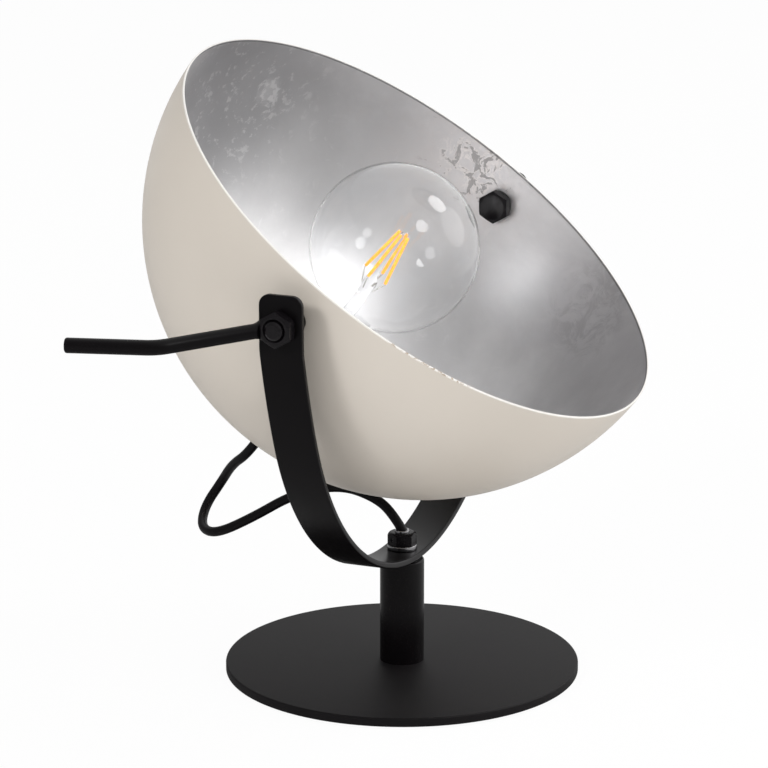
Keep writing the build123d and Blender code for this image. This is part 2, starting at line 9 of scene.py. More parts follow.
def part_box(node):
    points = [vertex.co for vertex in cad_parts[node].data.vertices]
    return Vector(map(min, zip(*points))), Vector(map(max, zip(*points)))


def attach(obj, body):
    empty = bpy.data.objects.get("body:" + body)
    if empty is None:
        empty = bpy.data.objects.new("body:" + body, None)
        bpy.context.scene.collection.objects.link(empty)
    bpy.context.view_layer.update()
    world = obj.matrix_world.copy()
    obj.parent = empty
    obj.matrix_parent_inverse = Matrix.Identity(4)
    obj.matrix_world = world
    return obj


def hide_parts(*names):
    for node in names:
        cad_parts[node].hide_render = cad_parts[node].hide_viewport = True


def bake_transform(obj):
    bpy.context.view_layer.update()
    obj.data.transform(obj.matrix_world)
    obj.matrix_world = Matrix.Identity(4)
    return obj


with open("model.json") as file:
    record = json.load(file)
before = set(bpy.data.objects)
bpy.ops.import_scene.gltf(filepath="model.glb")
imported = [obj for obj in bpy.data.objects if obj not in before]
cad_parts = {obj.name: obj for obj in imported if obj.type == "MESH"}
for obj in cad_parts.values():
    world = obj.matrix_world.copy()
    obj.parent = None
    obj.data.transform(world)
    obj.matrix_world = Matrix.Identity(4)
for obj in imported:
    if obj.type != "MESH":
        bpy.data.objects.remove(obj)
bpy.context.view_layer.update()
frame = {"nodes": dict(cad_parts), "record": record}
nodes = frame["nodes"]
bpy.ops.object.select_all(action="DESELECT")
print("frame loaded:", len(nodes), "nodes")


# camera: seen from the lever's side, a little above the pivots
view = {"place": (-1.8529, -0.7391, 0.7010), "azimuth": -67.96, "elevation": 14.98, "lens": 173.65}
bpy.ops.object.camera_add(
    location=view["place"],
    rotation=(math.radians(90 - view["elevation"]), 0, math.radians(view["azimuth"])),
)
camera = bpy.context.active_object
camera.data.lens = view["lens"]
camera.data.sensor_width = 36
camera.data.clip_start = 0.05
bpy.context.scene.camera = camera


# modelling helpers
def wipeSelection():
    bpy.ops.object.select_all(action="DESELECT")


def makeActive(piece):
    wipeSelection()
    piece.select_set(True)
    bpy.context.view_layer.objects.active = piece


def settle(piece, placed=None):
    # moves a piece into a frame and settles its place into its mesh
    makeActive(piece)
    if placed is not None:
        piece.matrix_world = placed @ piece.matrix_world
    bpy.ops.object.transform_apply(location=True, rotation=True, scale=True)
    return piece


def namePiece(name):
    piece = bpy.context.active_object
    piece.name = name
    piece.data.name = name
    return settle(piece)


def editPiece(piece):
    makeActive(piece)
    bpy.ops.object.mode_set(mode="EDIT")


def leaveEdit():
    bpy.ops.object.mode_set(mode="OBJECT")


def pick(piece, kind, test):
    # in edit mode, selects the edges or faces that pass the test
    bpy.ops.mesh.select_mode(type=kind)
    bpy.ops.mesh.select_all(action="DESELECT")
    shape = bmesh.from_edit_mesh(piece.data)
    for item in {"EDGE": shape.edges, "FACE": shape.faces}[kind]:
        if test(item):
            item.select_set(True)
    bmesh.update_edit_mesh(piece.data)


def tidyMesh(doubles=0.000001):
    bpy.ops.mesh.select_all(action="SELECT")
    bpy.ops.mesh.remove_doubles(threshold=doubles)
    bpy.ops.mesh.normals_make_consistent(inside=False)


def applyModifier(piece, kind, **settings):
    makeActive(piece)
    modifier = piece.modifiers.new(kind.title(), kind)
    for key, value in settings.items():
        setattr(modifier, key, value)
    bpy.ops.object.modifier_apply(modifier=modifier.name)


def roundEdges(piece, width, segments=2, angle=32):
    applyModifier(piece, "BEVEL", width=width, segments=segments, limit_method="ANGLE",
                  angle_limit=math.radians(angle), use_clamp_overlap=True)


def cutWith(piece, cutter, operation="DIFFERENCE"):
    applyModifier(piece, "BOOLEAN", object=cutter, operation=operation, solver="EXACT")
    bpy.data.objects.remove(cutter)


def bar(radius, low, high, sides=64, placed=None):
    # round bar along Z, for cutting holes and as a start for rods
    wipeSelection()
    bpy.ops.mesh.primitive_cylinder_add(vertices=sides, radius=radius, depth=high - low,
                                        location=(0, 0, (low + high) / 2))
    return settle(bpy.context.active_object, placed)


def turned(name, outline, steps=96, closed=True, placed=None):
    # an outline of (radius, height) points, drawn by extruding one vertex, then spun about Z
    wipeSelection()
    bpy.ops.mesh.primitive_plane_add(size=0.001, location=(outline[0][0], 0, outline[0][1]))
    piece = namePiece(name)
    editPiece(piece)
    bpy.ops.mesh.select_mode(type="VERT")
    bpy.ops.mesh.select_all(action="SELECT")
    bpy.ops.mesh.merge(type="CENTER")
    for before, after in zip(outline, outline[1:] + outline[:1] if closed else outline[1:]):
        step = (after[0] - before[0], 0, after[1] - before[1])
        bpy.ops.mesh.extrude_region_move(TRANSFORM_OT_translate={"value": step})
    bpy.ops.mesh.select_all(action="SELECT")
    bpy.ops.mesh.spin(steps=steps, angle=math.radians(360), center=(0, 0, 0), axis=(0, 0, 1))
    tidyMesh()
    leaveEdit()
    return settle(piece, placed)


def arc(centre, radius, start, end, count=8):
    # points along an arc in the (radius, height) plane, angles in degrees
    turns = [math.radians(start + (end - start) * index / count) for index in range(count + 1)]
    return [(centre[0] + radius * math.cos(turn), centre[1] + radius * math.sin(turn)) for turn in turns]


def finishPiece(piece, body, replaced, slot, angle=35):
    # smooths a piece, paints it and hangs it on its body
    makeActive(piece)
    bpy.ops.object.shade_smooth_by_angle(angle=math.radians(angle))
    piece.data.materials.clear()
    piece.data.materials.append(finishes[slot])
    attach(piece, body)
    if replaced:
        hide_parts(*replaced)
    return piece


# shader helpers
class Wire:
    # one output of a node, so that shader maths reads as ordinary sums
    def __init__(self, paint, socket):
        self.paint = paint
        self.socket = socket

    def sums(self, operation, first, second):
        return self.paint.node("ShaderNodeMath", {"operation": operation}, {0: first, 1: second})

    def __add__(self, other):
        return self.sums("ADD", self, other)

    def __radd__(self, other):
        return self.sums("ADD", other, self)

    def __rsub__(self, other):
        return self.sums("SUBTRACT", other, self)

    def __mul__(self, other):
        return self.sums("MULTIPLY", self, other)

    def __rmul__(self, other):
        return self.sums("MULTIPLY", other, self)

    def ramp(self, low, high):
        # 0 at low, 1 at high and smooth between; it falls where low is above high
        return self.paint.node("ShaderNodeMapRange", {"interpolation_type": "SMOOTHSTEP"},
                               {"Value": self, "From Min": low, "From Max": high})


class Tree:
    # a node tree and the methods that add nodes to it
    def __init__(self, tree):
        self.tree = tree

    def join(self, socket, value):
        if isinstance(value, Wire):
            self.tree.links.new(value.socket, socket)
        elif socket.type == "RGBA" and len(value) == 3:
            socket.default_value = (*value, 1)
        else:
            socket.default_value = value

    def node(self, kind, settings=None, inputs=None, out=0):
        made = self.tree.nodes.new(kind)
        for key, value in (settings or {}).items():
            setattr(made, key, value)
        for key, value in (inputs or {}).items():
            self.join(made.inputs[key], value)
        return Wire(self, made.outputs[out])

    def dot(self, place, way):
        return self.node("ShaderNodeVectorMath", {"operation": "DOT_PRODUCT"}, {0: place, 1: tuple(way)}, out="Value")

    def between(self, share, first, second):
        # mixes two shaders
        return self.node("ShaderNodeMixShader", {}, {0: share, 1: first, 2: second})


class Paint(Tree):
    # a material: one Principled shader and the nodes that feed it
    def __init__(self, name, **fixed):
        self.material = bpy.data.materials.new(name)
        self.material.use_nodes = True
        super().__init__(self.material.node_tree)
        self.shader = self.tree.nodes["Principled BSDF"]
        self.place = self.node("ShaderNodeTexCoord", out="Object")
        for key, value in fixed.items():
            self.set(key.replace("_", " "), value)

    def set(self, name, value):
        self.join(self.shader.inputs[name], value)

    def mapped(self, scale, turn=(0, 0, 0)):
        return self.node("ShaderNodeMapping", {}, {
            "Vector": self.place, "Scale": scale, "Rotation": [math.radians(angle) for angle in turn]})

    def noise(self, scale, detail=4.0, rough=0.5, distortion=0.0, place=None):
        return self.node("ShaderNodeTexNoise", {}, {
            "Vector": place or self.place, "Scale": scale, "Detail": detail, "Roughness": rough,
            "Distortion": distortion}, out="Fac")

    def mix(self, share, first, second):
        return self.node("ShaderNodeMix", {"data_type": "RGBA"}, {0: share, 6: first, 7: second}, out=2)

    def bump(self, height, distance, strength=1.0):
        self.set("Normal", self.node("ShaderNodeBump", {}, {
            "Height": height, "Distance": distance, "Strength": strength}))

    def distanceTo(self, point):
        return self.node("ShaderNodeVectorMath", {"operation": "DISTANCE"},
                         {0: self.place, 1: tuple(point)}, out="Value")


# finishes
lampSizes = {"pivotHeight": 0.238985, "domeRadius": 0.1536, "domeWall": 0.0012, "openingElevation": 53.5,
             "rimBelowCentre": 0.0013, "domeCentre": (0, -0.011536, 0.2613), "lampLean": -1.4}
domeCentre = Vector(lampSizes["domeCentre"])
domeTurn = Matrix.Rotation(math.radians(90 - lampSizes["openingElevation"]), 4, "X")
domeFrame = Matrix.Translation(domeCentre) @ domeTurn
domeAxis = domeFrame.to_3x3() @ Vector((0, 0, 1))
toPole = Matrix.Translation((0, 0, -lampSizes["domeRadius"]))
lampTurn = Matrix.Rotation(math.radians(lampSizes["lampLean"]), 4, "X")
lampFrame = domeFrame @ toPole @ lampTurn @ toPole.inverted()
pivotPlace = Matrix.Translation((0, 0, lampSizes["pivotHeight"]))
nearSide = pivotPlace @ Matrix.Rotation(math.radians(-90), 4, "Y")
farSide = pivotPlace @ Matrix.Rotation(math.radians(90), 4, "Y")


def satinBlack(name, colour=(0.0026, 0.0020, 0.0024), level=0.17, rough=0.24, grain=0.3):
    # fine powder coat: almost black, with a slight orange-peel skin
    paint = Paint(name, Specular_IOR_Level=level)
    speck = paint.noise(2200, detail=2)
    skin = paint.noise(420, detail=2)
    cloud = paint.noise(14, detail=3)
    paint.set("Base Color", paint.mix(cloud.ramp(0.3, 0.7), colour, [part * 1.5 for part in colour]))
    paint.set("Roughness", rough + 0.10 * speck + 0.06 * cloud)
    paint.bump(skin + 0.4 * speck, 0.00003, grain)
    return paint.material


def hardSteel(name, colour=(0.0050, 0.0042, 0.0050), level=0.3, rough=0.1):
    # blackened steel: smooth turned faces with faint specks and clouds
    paint = Paint(name, Specular_IOR_Level=level)
    speck = paint.noise(900, detail=3)
    cloud = paint.noise(120, detail=3)
    paint.set("Base Color", paint.mix(speck.ramp(0.35, 0.75), colour, [part * 1.6 for part in colour]))
    paint.set("Roughness", rough + 0.12 * speck + 0.08 * cloud)
    paint.bump(speck, 0.00002, 0.4)
    return paint.material


def plainMetal(name, colour, rough=0.2, streaks=500):
    paint = Paint(name, Metallic=1.0)
    streak = paint.noise(streaks, detail=3, place=paint.mapped((1, 1, 8)))
    paint.set("Base Color", paint.mix(streak.ramp(0.3, 0.8), colour, [part * 0.8 for part in colour]))
    paint.set("Roughness", rough + 0.15 * streak)
    return paint.material


def mouldedPlastic(name, colour, rough=0.45, grain=1500, level=0.35):
    paint = Paint(name, Specular_IOR_Level=level)
    speck = paint.noise(grain, detail=2)
    cloud = paint.noise(40, detail=2)
    paint.set("Base Color", paint.mix(speck.ramp(0.3, 0.7), colour, [part * 1.25 for part in colour]))
    paint.set("Roughness", rough + 0.1 * speck + 0.05 * cloud)
    paint.bump(speck, 0.00002, 0.4)
    return paint.material


# places on the dome for the leaf's marks, the rim's chips and the painted shade
leafPlaces = {"brushedAndShaded": (0.045, 0.120, 0.325), "crinkled": (0.074, 0.112, 0.312),
              "torn": (0.150, 0.012, 0.266), "worn": (0.121, -0.069, 0.188),
              "shadedPatch": (0.102, 0.101, 0.258), "bare": (-0.136, -0.069, 0.217)}


def domeFinish(name):
    # satin cream paint outside, crinkled silver leaf inside, worn along the rim, with a painted highlight on the
    # rim's outer edge and painted shade on its inner edge and on parts of the leaf
    paint = Paint(name, Specular_IOR_Level=0.42)
    depth = paint.distanceTo(domeCentre)
    fromCentre = paint.node("ShaderNodeVectorMath", {"operation": "SUBTRACT"},
                            {0: paint.place, 1: tuple(domeCentre)}, out="Vector")
    height = paint.dot(fromCentre, domeAxis)
    inside = depth.ramp(lampSizes["domeRadius"] - 0.6 * lampSizes["domeWall"],
                        lampSizes["domeRadius"] - 0.9 * lampSizes["domeWall"])

    def near(place, reach, full):
        # 1 within full of a place, falling to 0 at reach
        return paint.distanceTo(leafPlaces[place]).ramp(reach, full)

    # cream paint
    drift = paint.noise(7, detail=2)
    grain = paint.noise(1500, detail=2)
    cream = paint.mix(drift.ramp(0.3, 0.7), (0.612, 0.558, 0.492), (0.640, 0.586, 0.520))

    # rim: a pale band along the outer edge is a painted highlight, and tan spots of worn paint show in it
    rimHighlightAndChipBand = height.ramp(-lampSizes["rimBelowCentre"] - 0.0011, -lampSizes["rimBelowCentre"] - 0.0003)
    chips = paint.noise(300, detail=5, rough=0.7).ramp(0.50, 0.58) * near("bare", 0.030, 0.018)
    rimHighlightAndChips = paint.mix(chips, (0.86, 0.84, 0.80), (0.40, 0.31, 0.22))
    outside = paint.mix(rimHighlightAndChipBand, cream, rimHighlightAndChips)

    # silver leaf: soft clouds, fine creases, small torn flakes
    cloud = paint.noise(9, detail=6, rough=0.58, distortion=0.3)
    crease = paint.noise(55, detail=9, rough=0.72, distortion=1.6)
    thread = paint.noise(260, detail=4, rough=0.6, place=paint.mapped((1, 0.22, 1), turn=(20, 35, 10)))
    # the brushed place: light strokes of the leaf's own, and painted shade over the place
    brushedAndShaded = near("brushedAndShaded", 0.085, 0.035)
    stroke = brushedAndShaded * (0.5 * thread + 0.5 * crease).ramp(0.54, 0.60)
    crinkled = near("crinkled", 0.012, 0.004) * crease.ramp(0.42, 0.60)
    ragged = near("torn", 0.034, 0.008)
    flake = paint.noise(95, detail=7, rough=0.66, distortion=1.1)
    torn = (flake + 0.13 * ragged).ramp(0.66, 0.675) * near("torn", 0.040, 0.026)
    pale = (flake + 0.13 * ragged).ramp(0.60, 0.62)
    worn = near("worn", 0.040, 0.015)
    leaf = paint.mix(cloud.ramp(0.32, 0.70), (0.72, 0.712, 0.718), (0.94, 0.930, 0.935))
    # painted shade: the leaf is darker around the brushed place
    leaf = paint.mix(0.45 * brushedAndShaded, leaf, (0.50, 0.498, 0.51))
    # painted shade: a soft dark patch on the leaf
    leaf = paint.mix(0.5 * near("shadedPatch", 0.048, 0.010), leaf, (0.52, 0.515, 0.52))
    leaf = paint.mix(0.4 * crease.ramp(0.56, 0.74), leaf, (0.93, 0.92, 0.925))
    leaf = paint.mix(0.6 * stroke + 0.5 * crinkled, leaf, (0.97, 0.96, 0.965))
    leaf = paint.mix(0.45 * worn * crease.ramp(0.40, 0.60), leaf, (0.42, 0.412, 0.415))
    leaf = paint.mix(0.7 * pale * ragged, leaf, (0.97, 0.945, 0.93))
    leaf = paint.mix(0.6 * torn, leaf, (0.40, 0.385, 0.385))
    # painted shade: a dark line along the rim's inner edge
    shadedInnerEdge = height.ramp(-lampSizes["rimBelowCentre"] - 0.0014, -lampSizes["rimBelowCentre"] - 0.0008)
    leaf = paint.mix(0.7 * shadedInnerEdge, leaf, (0.20, 0.19, 0.19))
    paint.set("Base Color", paint.mix(inside, outside, leaf))
    paint.set("Metallic", inside * (1 - 0.3 * torn))
    paint.set("Roughness", inside * (0.26 + 0.16 * cloud + 0.16 * crease + 0.15 * torn)
              + (1 - inside) * (0.36 + 0.08 * grain))
    paint.bump(inside * (5 * crease + 1.2 * thread + 3 * torn) + (1 - inside) * grain, 0.00003, 0.6)
    return paint.material


def clearGlass(name):
    paint = Paint(name, Transmission_Weight=1.0, Roughness=0.0, IOR=1.10, Coat_Weight=0.45, Coat_IOR=1.5)
    haze = paint.noise(30, detail=2)
    paint.set("Base Color", paint.mix(haze.ramp(0.4, 0.6), (0.985, 0.99, 0.995), (1, 1, 1)))
    return paint.material


def paintedGlowAmber(name):
    # painted glow: the unlit filament is given a faint emission of its own amber
    paint = Paint(name, Roughness=0.5, Emission_Strength=0.75)
    grain = paint.noise(700, detail=2)
    colour = paint.mix(grain.ramp(0.3, 0.7), (1.0, 0.36, 0.03), (1.0, 0.48, 0.07))
    paint.set("Base Color", colour)
    paint.set("Emission Color", colour)
    return paint.material


finishes = {
    "black_paint": satinBlack("satin black strip"),
    "dark_steel": hardSteel("blackened steel"),
    "zinc_steel": plainMetal("bright zinc", (0.40, 0.395, 0.405), 0.05),
    "felt": mouldedPlastic("pad rubber", (0.012, 0.012, 0.012), 0.8, 700),
    "black_rubber": mouldedPlastic("soft rubber", (0.008, 0.008, 0.008), 0.6),
    "black_nylon": mouldedPlastic("moulded nylon", (0.0034, 0.0028, 0.0034), 0.18, level=0.14),
    "cord_sheath": mouldedPlastic("cord sheath", (0.0036, 0.0030, 0.0036), 0.30, level=0.2),
    "cream_aluminium": domeFinish("cream and silver leaf"),
    "ceramic": mouldedPlastic("glazed ceramic", (0.78, 0.77, 0.73), 0.15, 300, 0.5),
    "brass": plainMetal("plain brass", (0.75, 0.52, 0.22), 0.25),
    "clear_glass": clearGlass("clear glass"),
    "nickel": plainMetal("nickel plate", (0.66, 0.64, 0.60), 0.2),
    "dark_vitrite": mouldedPlastic("dark glass insulator", (0.02, 0.012, 0.03), 0.1),
    "solder": plainMetal("solder", (0.55, 0.55, 0.55), 0.4),
    "filament": paintedGlowAmber("amber filament"),
}
stemPaint = satinBlack("satin black stem", rough=0.18, level=0.19)
basePaint = satinBlack("matt black base", colour=(0.0056, 0.0048, 0.0054), level=0.165, rough=0.48, grain=0.5)
for subpart in frame["record"]["subparts"]:
    node = nodes[subpart["node"]]
    node.data.materials.clear()
    node.data.materials.append(finishes[subpart["material_slot"]])
print("finishes made:", len(finishes) + 2)


# cord: from the grip on the yoke, down behind the dome and up to the grip on its pole
cord = {
    "diameter": 0.0055,
    "length": 0.222,
    "points": [
        (0.0, -0.0006, 0.08115),
        (-0.0004, 0.0042, 0.0894),
        (-0.0003, 0.0145, 0.099),
        (-0.0012, 0.0367, 0.1051),
        (-0.0069, 0.063, 0.0983),
        (-0.0128, 0.0869, 0.0829),
        (-0.0166, 0.1076, 0.072),
        (-0.0066, 0.1218, 0.0711),
        (0.0079, 0.1259, 0.0796),
        (0.0153, 0.1183, 0.0935),
        (0.008, 0.1083, 0.1066),
        (0.0, 0.0948, 0.1166),
        (0.0, 0.08745, 0.12699),
    ],
}


def cordCurve(name, thickness):
    curve = bpy.data.curves.new(name, "CURVE")
    curve.dimensions = "3D"
    curve.resolution_u = 24
    curve.bevel_depth = thickness / 2
    curve.bevel_resolution = 8
    curve.use_fill_caps = thickness > 0
    spline = curve.splines.new("NURBS")
    spline.points.add(len(cord["points"]) - 1)
    for point, place in zip(spline.points, cord["points"]):
        point.co = (*place, 1)
    spline.order_u = 3
    spline.use_endpoint_u = True
    route = bpy.data.objects.new(name, curve)
    bpy.context.scene.collection.objects.link(route)
    return route


guide = cordCurve("cord_guide", 0)
line = bpy.data.meshes.new_from_object(guide.evaluated_get(bpy.context.evaluated_depsgraph_get()))
bpy.data.objects.remove(guide)
sheath = cordCurve("cord_sheath", cord["diameter"])
makeActive(sheath)
bpy.ops.object.convert(target="MESH")
sheath = bpy.context.active_object
makeActive(sheath)
bpy.ops.object.shade_smooth_by_angle(angle=math.radians(60))
sheath.data.materials.clear()
sheath.data.materials.append(finishes["cord_sheath"])
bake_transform(sheath)
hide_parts("lamp_cord")


# base plate: a thick disc with a softened edge and a countersunk hole below
base = {"radius": 0.100, "low": 0.001, "high": 0.006, "topEdge": 0.0009, "lowEdge": 0.0004,
        "hole": 0.0043, "sinkTop": 0.0047, "sink": 0.00802}
plate = turned("base_disc", [
    (base["hole"], base["high"]),
    *arc((base["radius"] - base["topEdge"], base["high"] - base["topEdge"]), base["topEdge"], 90, 0, 5),
    *arc((base["radius"] - base["lowEdge"], base["low"] + base["lowEdge"]), base["lowEdge"], 0, -90, 3),
    (base["sink"], base["low"]),
    (base["hole"], base["sinkTop"]),
], steps=256)
finishPiece(plate, "base", ["base_plate"], "black_paint")
plate.data.materials[0] = basePaint

# stem: a short tube with a rounded top and the lead's hole low on its far side
stem = {"radius": 0.0125, "bore": 0.0105, "low": 0.006, "high": 0.066, "topEdge": 0.0014, "leadHole": 0.0045,
        "leadHeight": 0.024, "leadDepth": 0.014}
column = turned("stem_column", [
    (stem["bore"], stem["low"]),
    (stem["radius"], stem["low"]),
    *arc((stem["radius"] - stem["topEdge"], stem["high"] - stem["topEdge"]), stem["topEdge"], 0, 90, 6),
    (stem["bore"], stem["high"]),
], steps=128)
leadHole = Matrix.Translation((0, 0, stem["leadHeight"])) @ Matrix.Rotation(math.radians(90), 4, "Y")
cutWith(column, bar(stem["leadHole"], 0, stem["leadDepth"], placed=leadHole))
finishPiece(column, "base", ["stem_tube"], "black_paint")
column.data.materials[0] = stemPaint
print("base and stem made")


# yoke: a flat bar bent in three arcs on each side, with rounded tabs
yoke = {"width": 0.0242, "thickness": 0.0035, "low": 0.0676, "halfWidth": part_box("yoke_strip")[1][0],
        "bottomAngle": 68.2, "sideAngle": 8.0, "tabRadius": 0.030, "straightBelowPivot": 0.0098,
        "top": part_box("yoke_strip")[1][2], "corner": 0.0058, "edge": 0.0009, "tabHole": 0.00652,
        "pipeHole": 0.00502, "spotFace": 0.0092}


def yokeBends():
    # radii of the two long arcs that reach the tab's width and height together
    leanEnd = math.radians(90 - yoke["bottomAngle"] - yoke["sideAngle"])
    leanMiddle = math.radians(90 - yoke["bottomAngle"])
    width = yoke["halfWidth"] - yoke["tabRadius"] * (1 - math.cos(leanEnd))
    height = (lampSizes["pivotHeight"] - yoke["straightBelowPivot"] - yoke["low"]
              - yoke["tabRadius"] * math.sin(leanEnd))
    bottomWidth, bottomHeight = math.cos(leanMiddle), 1 - math.sin(leanMiddle)
    sideWidth = math.cos(leanEnd) - math.cos(leanMiddle)
    sideHeight = math.sin(leanMiddle) - math.sin(leanEnd)
    share = bottomWidth * sideHeight - sideWidth * bottomHeight
    bottomRadius = (width * sideHeight - sideWidth * height) / share
    sideRadius = (bottomWidth * height - bottomHeight * width) / share
    return [(bottomRadius, yoke["bottomAngle"], 40), (sideRadius, yoke["sideAngle"], 8),
            (yoke["tabRadius"], 90 - yoke["bottomAngle"] - yoke["sideAngle"], 8)]


def yokeBar():
    wipeSelection()
    bpy.ops.mesh.primitive_plane_add(size=1, location=(0, 0, yoke["low"] + yoke["thickness"] / 2),
                                     rotation=(0, math.radians(90), 0))
    piece = bpy.context.active_object
    piece.scale = (yoke["thickness"], yoke["width"], 1)
    piece = namePiece("yoke_bar")
    editPiece(piece)
    bpy.ops.mesh.select_mode(type="FACE")
    bpy.ops.mesh.select_all(action="SELECT")
    foot = Vector((0, 0, yoke["low"]))
    inward = Vector((0, 0, 1))
    turnedBy = 0
    for radius, angle, steps in yokeBends():
        centre = foot + inward * radius
        bpy.ops.mesh.spin(steps=steps, angle=math.radians(angle), center=centre, axis=(0, -1, 0))
        turnedBy += angle
        inward = Vector((math.sin(math.radians(turnedBy)), 0, math.cos(math.radians(turnedBy))))
        foot = centre - inward * radius
    bpy.ops.mesh.extrude_region_move(TRANSFORM_OT_translate={"value": (0, 0, yoke["top"] - foot.z)})
    pick(piece, "FACE", lambda face: all(abs(vertex.co.x) < 0.00001 for vertex in face.verts))
    bpy.ops.mesh.delete(type="ONLY_FACE")
    pick(piece, "EDGE", lambda edge: all(vertex.co.z > yoke["top"] - 0.00001 for vertex in edge.verts)
         and abs(edge.verts[0].co.y - edge.verts[1].co.y) < 0.00001)
    bpy.ops.mesh.bevel(offset=yoke["corner"], segments=8, affect="EDGES")
    leaveEdit()
    applyModifier(piece, "MIRROR", use_axis=(True, False, False), use_mirror_merge=True, merge_threshold=0.00002)
    editPiece(piece)
    tidyMesh()
    leaveEdit()
    roundEdges(piece, yoke["edge"], segments=4, angle=40)
    cutWith(piece, bar(yoke["spotFace"], yoke["low"] + yoke["thickness"], yoke["low"] + 0.010))
    cutWith(piece, bar(yoke["pipeHole"], yoke["low"] - 0.003, yoke["low"] + 0.010))
    for side in (nearSide, farSide):
        cutWith(piece, bar(yoke["tabHole"], yoke["halfWidth"] - 0.010, yoke["halfWidth"] + 0.005, placed=side))
    return piece


finishPiece(yokeBar(), "yoke", ["yoke_strip"], "black_paint", angle=30)
print("yoke bent")


# hexagons: nuts and heads with turned-down corners
def hexPrism(flats, low, high, softness=0.0002):
    wipeSelection()
    bpy.ops.mesh.primitive_cylinder_add(vertices=6, radius=flats / math.sqrt(3), depth=high - low,
                                        location=(0, 0, (low + high) / 2), rotation=(0, 0, math.radians(30)))
    piece = settle(bpy.context.active_object)
    editPiece(piece)
    pick(piece, "EDGE", lambda edge: abs(edge.verts[0].co.z - edge.verts[1].co.z) > 0.5 * (high - low))
    bpy.ops.mesh.bevel(offset=softness, segments=2, affect="EDGES")
    leaveEdit()
    return piece


def hexBlank(name, flats, low, high, highChamfer=True):
    piece = hexPrism(flats, low, high)
    faceShare = 0.86  # the round face's share of the width across flats
    soft = 0.00018
    corner = flats / math.sqrt(3)
    face = flats / 2 * faceShare
    drop = (corner - face) * math.tan(math.radians(30))
    reach = corner * 1.01
    outline = [(0, low), (face - soft, low), (face + soft, low + soft * 0.4), (reach, low + drop * 1.02)]
    if highChamfer:
        outline += [(reach, high - drop * 1.02), (face + soft, high - soft * 0.4), (face - soft, high)]
    else:
        outline += [(reach, high)]
    outline += [(0, high)]
    cutWith(piece, turned("corner_shape", outline, steps=96, closed=False), "INTERSECT")
    piece.name = name
    piece.data.name = name
    return piece


def hexNut(name, flats, bore, low, high, sink=0.0005):
    # bore with a small countersink at each end
    piece = hexBlank(name, flats, low, high)
    cutWith(piece, turned("bore_shape", [
        (0, low - 0.001), (bore + sink + 0.001, low - 0.001), (bore + sink, low), (bore, low + sink),
        (bore, high - sink), (bore + sink, high), (bore + sink + 0.001, high + 0.001), (0, high + 0.001),
    ], steps=64, closed=False))
    return piece


def copyPiece(piece, name, placed):
    twin = piece.copy()
    twin.data = piece.data.copy()
    twin.name = name
    twin.data.name = name
    bpy.context.scene.collection.objects.link(twin)
    return settle(twin, placed)


# cord grip: hexagonal body with a round shoulder, bright collar, small clamp screw
grip = {"low": 0.0741, "high": 0.0813, "flats": 0.0146, "shoulder": 0.0026, "pipeHole": 0.00505, "pipeTop": 0.0760,
        "cordHole": 0.00285, "collar": 0.0042, "collarLow": 0.0799, "collarTop": 0.08255, "screw": 0.0012,
        "screwHeight": 0.07725, "screwTurn": 150, "screwStart": 0.00287, "screwEnd": 0.00697}
screwPlace = (Matrix.Rotation(math.radians(grip["screwTurn"]), 4, "Z")
              @ Matrix.Translation((0, 0, grip["screwHeight"]))
              @ Matrix.Rotation(math.radians(90), 4, "Y"))


def gripBody():
    piece = hexPrism(grip["flats"], grip["low"], grip["high"], softness=0.00035)
    corner = grip["flats"] / math.sqrt(3)
    cutWith(piece, turned("shoulder_shape", [
        (0, grip["low"]), (corner - 0.0002, grip["low"]), (corner * 1.001, grip["low"] + 0.0003),
        *arc((corner * 1.001 - grip["shoulder"], grip["high"] - grip["shoulder"]), grip["shoulder"], 0, 90, 12),
        (0, grip["high"]),
    ], steps=96, closed=False), "INTERSECT")
    cutWith(piece, turned("grip_bore", [
        (0, grip["low"] - 0.001), (grip["pipeHole"], grip["low"] - 0.001), (grip["pipeHole"], grip["pipeTop"]),
        (grip["cordHole"], grip["pipeTop"]), (grip["cordHole"], grip["collarLow"]),
        (grip["collar"] + 0.00002, grip["collarLow"]), (grip["collar"] + 0.00002, grip["high"] + 0.001),
        (0, grip["high"] + 0.001),
    ], steps=64, closed=False))
    cutWith(piece, bar(grip["screw"] + 0.00002, 0.003, 0.010, sides=32, placed=screwPlace))
    piece.name = "grip_body"
    return piece


def gripCollar():
    edge = 0.0005
    return turned("grip_collar", [
        (grip["cordHole"], grip["collarLow"]), (grip["collar"], grip["collarLow"]),
        *arc((grip["collar"] - edge, grip["collarTop"] - edge), edge, 0, 90, 4),
        *arc((grip["cordHole"] + 0.0003, grip["collarTop"] - 0.0003), 0.0003, 90, 180, 3),
    ], steps=96)


def gripScrew():
    # slotted set screw
    edge = 0.0002
    piece = turned("grip_screw", [
        (0, grip["screwStart"]), (grip["screw"] - edge, grip["screwStart"]),
        (grip["screw"], grip["screwStart"] + edge), (grip["screw"], grip["screwEnd"] - edge),
        (grip["screw"] - edge, grip["screwEnd"]), (0, grip["screwEnd"]),
    ], steps=32, closed=False)
    wipeSelection()
    bpy.ops.mesh.primitive_cube_add(size=1, location=(0, 0, grip["screwEnd"]), scale=(0.0004, 0.004, 0.0012))
    cutWith(piece, settle(bpy.context.active_object))
    return settle(piece, screwPlace)


